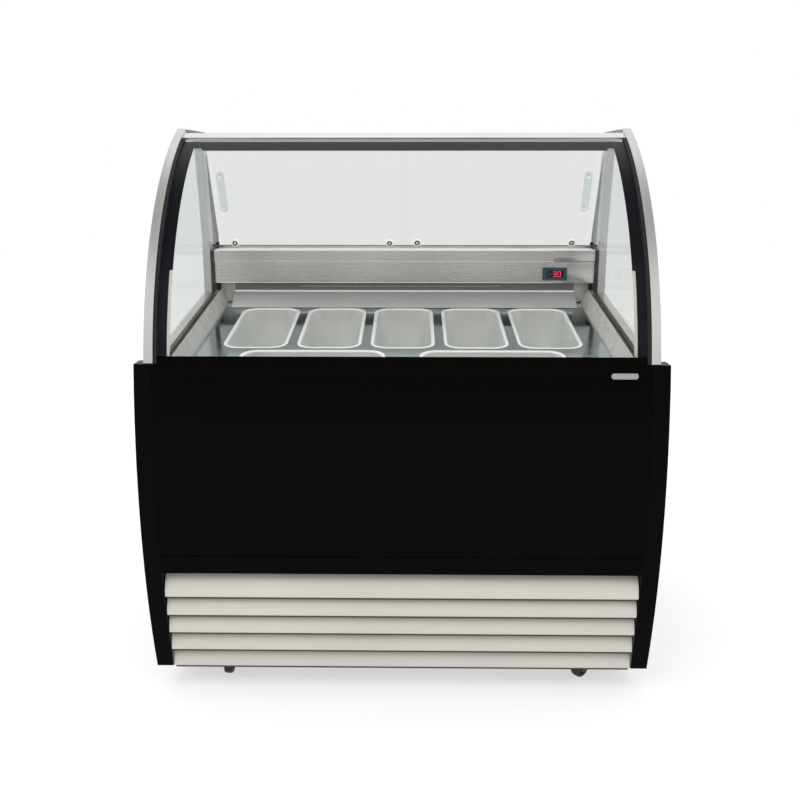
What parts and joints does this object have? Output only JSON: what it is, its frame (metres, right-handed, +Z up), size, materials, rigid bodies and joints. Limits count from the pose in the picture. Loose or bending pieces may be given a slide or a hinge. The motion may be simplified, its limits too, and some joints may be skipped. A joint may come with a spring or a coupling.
{
  "type": "ice cream dipping cabinet",
  "caption": "Ice cream dipping cabinet: curved glass hood over lift-out pans in an insulated tub, gloss front, louvred base, sliding rear doors, casters.",
  "frame": {"origin": "on the floor, under the middle of the cabinet's bounding box", "axes": "+Z up, +Y from the customer's glass front to the server's sliding doors, +X to the customer's right"},
  "size_m": [1.2, 0.83, 1.347],
  "materials": {
    "gloss_black": "gloss black painted or glass-faced panel",
    "silver_frame": "satin anodised aluminium",
    "slat_grey": "satin light grey powder coat",
    "stainless": "brushed stainless steel",
    "polished_deck": "polished stainless steel",
    "casing_steel": "fine textured dark grey powder coat",
    "foam_liner": "white liner over foam insulation",
    "clear_glass": "clear tempered glass",
    "acrylic": "clear acrylic sheet",
    "black_seal": "black silicone and rubber",
    "white_plastic": "white nylon and lamp plastic",
    "dark_steel": "dark painted steel",
    "finned_coil": "finned aluminium coil",
    "compressor_black": "semi-gloss black enamel",
    "controller_grey": "blue-grey instrument plastic",
    "zinc": "zinc-plated pressed steel",
    "caster_rubber": "black rubber tread"
  },
  "bodies": {
    "cabinet": {"base_frame": "dark_steel", "rear_top_track": "dark_steel", "fan_motor": "dark_steel", "side_panel_left": "casing_steel", "side_panel_right": "casing_steel", "rear_panel": "casing_steel", "front_panel": "gloss_black", "lower_strip": "gloss_black", "front_trim_left": "gloss_black", "front_trim_right": "gloss_black", "glass_bottom_rail": "gloss_black", "louver_slat_1": "slat_grey", "louver_slat_2": "slat_grey", "louver_slat_3": "slat_grey", "louver_slat_4": "slat_grey", "louver_slat_5": "slat_grey", "side_sill_left": "slat_grey", "side_sill_right": "slat_grey", "insulated_tub": "foam_liner", "pan_deck": "polished_deck", "rear_ledge": "stainless", "air_deflector": "stainless", "side_frame_left": "silver_frame", "side_frame_right": "silver_frame", "canopy": "silver_frame", "glass_seal_left": "black_seal", "glass_seal_right": "black_seal", "cable_gland": "black_seal", "front_glass": "clear_glass", "side_glass_left": "clear_glass", "side_glass_right": "clear_glass", "lamp_housing": "white_plastic", "controller": "controller_grey", "compressor": "compressor_black", "condenser": "finned_coil", "evaporator": "finned_coil"},
    "door_left": {"door_left": "acrylic", "door_handle_left": "acrylic"},
    "door_right": {"door_right": "acrylic", "door_handle_right": "acrylic"},
    "door_roller_left_1": {"door_roller_left_1": "white_plastic"},
    "door_roller_left_2": {"door_roller_left_2": "white_plastic"},
    "door_roller_right_1": {"door_roller_right_1": "white_plastic"},
    "door_roller_right_2": {"door_roller_right_2": "white_plastic"},
    "pan_back_1": {"pan_back_1": "stainless"},
    "pan_back_2": {"pan_back_2": "stainless"},
    "pan_back_3": {"pan_back_3": "stainless"},
    "pan_back_4": {"pan_back_4": "stainless"},
    "pan_back_5": {"pan_back_5": "stainless"},
    "pan_front_left": {"pan_front_left": "stainless"},
    "pan_front_right": {"pan_front_right": "stainless"},
    "condenser_fan": {"condenser_fan": "black_seal"},
    "caster_fork_front_left": {"caster_fork_front_left": "zinc"},
    "caster_fork_front_right": {"caster_fork_front_right": "zinc"},
    "caster_fork_rear_left": {"caster_fork_rear_left": "zinc"},
    "caster_fork_rear_right": {"caster_fork_rear_right": "zinc"},
    "caster_wheel_front_left": {"caster_wheel_front_left": "caster_rubber"},
    "caster_wheel_front_right": {"caster_wheel_front_right": "caster_rubber"},
    "caster_wheel_rear_left": {"caster_wheel_rear_left": "caster_rubber"},
    "caster_wheel_rear_right": {"caster_wheel_rear_right": "caster_rubber"}
  },
  "joints": [
    {"name": "door_left_slide", "type": "slide", "parent": "cabinet", "child": "door_left", "axis": [1, 0, 0], "range_m": [0, 0.52]},
    {"name": "door_right_slide", "type": "slide", "parent": "cabinet", "child": "door_right", "axis": [-1, 0, 0], "range_m": [0, 0.52]},
    {"name": "door_roller_left_1_turn", "type": "hinge", "parent": "door_left", "child": "door_roller_left_1", "pos_m": [-0.503, 0.37398, 1.03654], "axis": [0, 0.9078, 0.4195], "continuous": true},
    {"name": "door_roller_left_2_turn", "type": "hinge", "parent": "door_left", "child": "door_roller_left_2", "pos_m": [-0.044, 0.37398, 1.03654], "axis": [0, 0.9078, 0.4195], "continuous": true},
    {"name": "door_roller_right_1_turn", "type": "hinge", "parent": "door_right", "child": "door_roller_right_1", "pos_m": [0.038, 0.38938, 1.03654], "axis": [0, 0.9078, 0.4195], "continuous": true},
    {"name": "door_roller_right_2_turn", "type": "hinge", "parent": "door_right", "child": "door_roller_right_2", "pos_m": [0.497, 0.38938, 1.03654], "axis": [0, 0.9078, 0.4195], "continuous": true},
    {"name": "pan_back_1_lift", "type": "slide", "parent": "cabinet", "child": "pan_back_1", "axis": [0, -0.1392, 0.9903], "range_m": [0, 0.15]},
    {"name": "pan_back_2_lift", "type": "slide", "parent": "cabinet", "child": "pan_back_2", "axis": [0, -0.1392, 0.9903], "range_m": [0, 0.15]},
    {"name": "pan_back_3_lift", "type": "slide", "parent": "cabinet", "child": "pan_back_3", "axis": [0, -0.1392, 0.9903], "range_m": [0, 0.15]},
    {"name": "pan_back_4_lift", "type": "slide", "parent": "cabinet", "child": "pan_back_4", "axis": [0, -0.1392, 0.9903], "range_m": [0, 0.15]},
    {"name": "pan_back_5_lift", "type": "slide", "parent": "cabinet", "child": "pan_back_5", "axis": [0, -0.1392, 0.9903], "range_m": [0, 0.15]},
    {"name": "pan_front_left_lift", "type": "slide", "parent": "cabinet", "child": "pan_front_left", "axis": [0, -0.1392, 0.9903], "range_m": [0, 0.15]},
    {"name": "pan_front_right_lift", "type": "slide", "parent": "cabinet", "child": "pan_front_right", "axis": [0, -0.1392, 0.9903], "range_m": [0, 0.15]},
    {"name": "condenser_fan_spin", "type": "hinge", "parent": "cabinet", "child": "condenser_fan", "pos_m": [-0.27, -0.193, 0.28], "axis": [0, 1, 0], "continuous": true},
    {"name": "caster_front_left_swivel", "type": "hinge", "parent": "cabinet", "child": "caster_fork_front_left", "pos_m": [-0.438, -0.297, 0.08], "axis": [0, 0, 1], "continuous": true},
    {"name": "caster_front_right_swivel", "type": "hinge", "parent": "cabinet", "child": "caster_fork_front_right", "pos_m": [0.438, -0.297, 0.08], "axis": [0, 0, 1], "continuous": true},
    {"name": "caster_rear_left_swivel", "type": "hinge", "parent": "cabinet", "child": "caster_fork_rear_left", "pos_m": [-0.438, 0.285, 0.08], "axis": [0, 0, 1], "continuous": true},
    {"name": "caster_rear_right_swivel", "type": "hinge", "parent": "cabinet", "child": "caster_fork_rear_right", "pos_m": [0.438, 0.285, 0.08], "axis": [0, 0, 1], "continuous": true},
    {"name": "caster_front_left_roll", "type": "hinge", "parent": "caster_fork_front_left", "child": "caster_wheel_front_left", "pos_m": [-0.438, -0.28, 0.025], "axis": [1, 0, 0], "continuous": true},
    {"name": "caster_front_right_roll", "type": "hinge", "parent": "caster_fork_front_right", "child": "caster_wheel_front_right", "pos_m": [0.45063, -0.28563, 0.025], "axis": [0.6691, -0.7431, 0], "continuous": true},
    {"name": "caster_rear_left_roll", "type": "hinge", "parent": "caster_fork_rear_left", "child": "caster_wheel_rear_left", "pos_m": [-0.438, 0.302, 0.025], "axis": [1, 0, 0], "continuous": true},
    {"name": "caster_rear_right_roll", "type": "hinge", "parent": "caster_fork_rear_right", "child": "caster_wheel_rear_right", "pos_m": [0.438, 0.302, 0.025], "axis": [1, 0, 0], "continuous": true}
  ],
  "couplings": [
    {"joint": "door_roller_left_1_turn", "follows": "door_left_slide", "rad_per_m": 83.333},
    {"joint": "door_roller_left_2_turn", "follows": "door_left_slide", "rad_per_m": 83.333},
    {"joint": "door_roller_right_1_turn", "follows": "door_right_slide", "rad_per_m": -83.333},
    {"joint": "door_roller_right_2_turn", "follows": "door_right_slide", "rad_per_m": -83.333}
  ]
}
